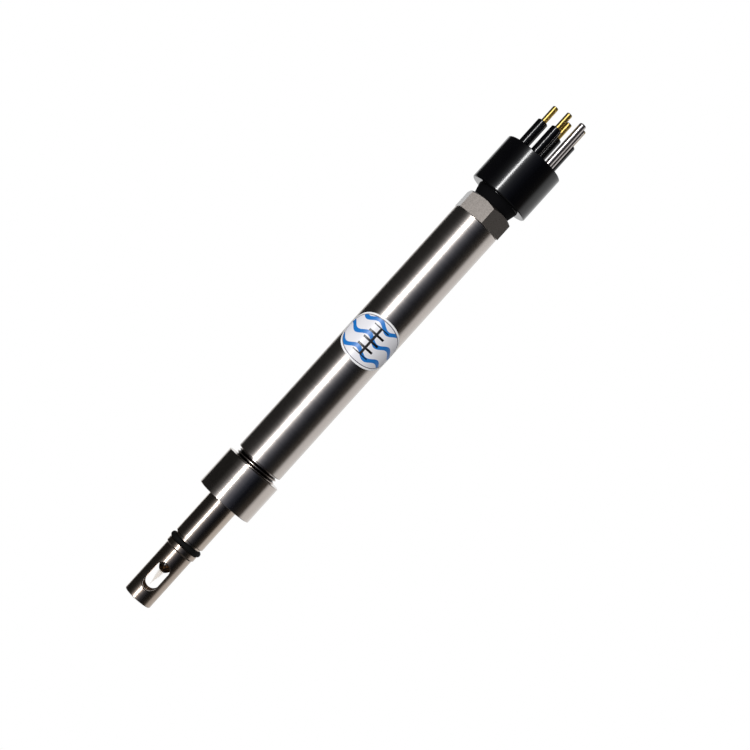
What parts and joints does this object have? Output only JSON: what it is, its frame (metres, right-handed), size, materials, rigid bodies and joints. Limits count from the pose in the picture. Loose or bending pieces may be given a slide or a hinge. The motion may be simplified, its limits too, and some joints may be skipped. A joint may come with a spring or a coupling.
{
  "type": "hydrogen sulfide sensor",
  "caption": "Slim underwater probe for dissolved hydrogen sulfide: slotted cage round a glass tip, union nut, long housing tube with an oval sticker, moulded pin connector.",
  "frame": {"origin": "middle of the barrel's length, on its axis", "axes": "+Z along the axis towards the connector, -Z towards the cage, -Y out of the sticker's centre"},
  "size_m": [0.0306, 0.0304, 0.2908],
  "materials": {
    "titanium": "turned and polished titanium",
    "satin_titanium": "satin milled titanium",
    "cage_titanium": "fine turned titanium",
    "moulded_rubber": "smooth moulded black rubber, semi-gloss",
    "seal_rubber": "black nitrile seal",
    "gold_plate": "gold-plated brass",
    "pin_steel": "polished stainless steel",
    "glass": "clear drawn glass",
    "brown_resin": "dark brown cast resin",
    "electrode_metal": "platinum wire",
    "plug_plastic": "machined insulating plastic",
    "board_laminate": "green solder mask",
    "chip_plastic": "moulded chip housings",
    "capacitor_can": "drawn aluminium cans",
    "wire_cover": "extruded wire insulation",
    "sticker_film": "white printed film"
  },
  "bodies": {
    "housing": {"housing_tube": "titanium", "hex_shell": "satin_titanium", "connector_body": "moulded_rubber", "connector_o_ring": "seal_rubber", "contact_pin_1": "gold_plate", "contact_pin_2": "gold_plate", "contact_pin_3": "gold_plate", "contact_pin_4": "gold_plate", "guide_pin_1": "pin_steel", "guide_pin_2": "pin_steel", "head_socket": "plug_plastic", "board_spacer_1": "plug_plastic", "board_spacer_2": "plug_plastic", "circuit_board": "board_laminate", "amplifier_chips": "chip_plastic", "filter_capacitors": "capacitor_can", "connector_wire_1": "wire_cover", "connector_wire_2": "wire_cover", "connector_wire_3": "wire_cover", "connector_wire_4": "wire_cover", "sticker": "sticker_film"},
    "sensor_head": {"head_shaft": "titanium", "head_o_ring": "seal_rubber", "shaft_o_ring": "seal_rubber", "protective_cage": "cage_titanium", "resin_plug": "brown_resin", "glass_capillary": "glass", "head_plug": "plug_plastic", "electrode_lead_1": "electrode_metal", "electrode_lead_2": "electrode_metal", "electrode_lead_3": "electrode_metal", "plug_pin_1": "gold_plate", "plug_pin_2": "gold_plate", "plug_pin_3": "gold_plate"},
    "union_nut": {"union_nut": "titanium", "retaining_ring": "pin_steel"}
  },
  "joints": [
    {"name": "head_draw", "type": "slide", "parent": "housing", "child": "sensor_head", "axis": [0, 0, -1], "range_m": [0, 0.01164]},
    {"name": "nut_turn", "type": "hinge", "parent": "sensor_head", "child": "union_nut", "pos_m": [0, 0, -0.0864], "axis": [0, 0, -1], "range_deg": [0, 2790]}
  ],
  "couplings": [
    {"joint": "head_draw", "follows": "nut_turn", "m_per_rad": 0.00023873}
  ]
}
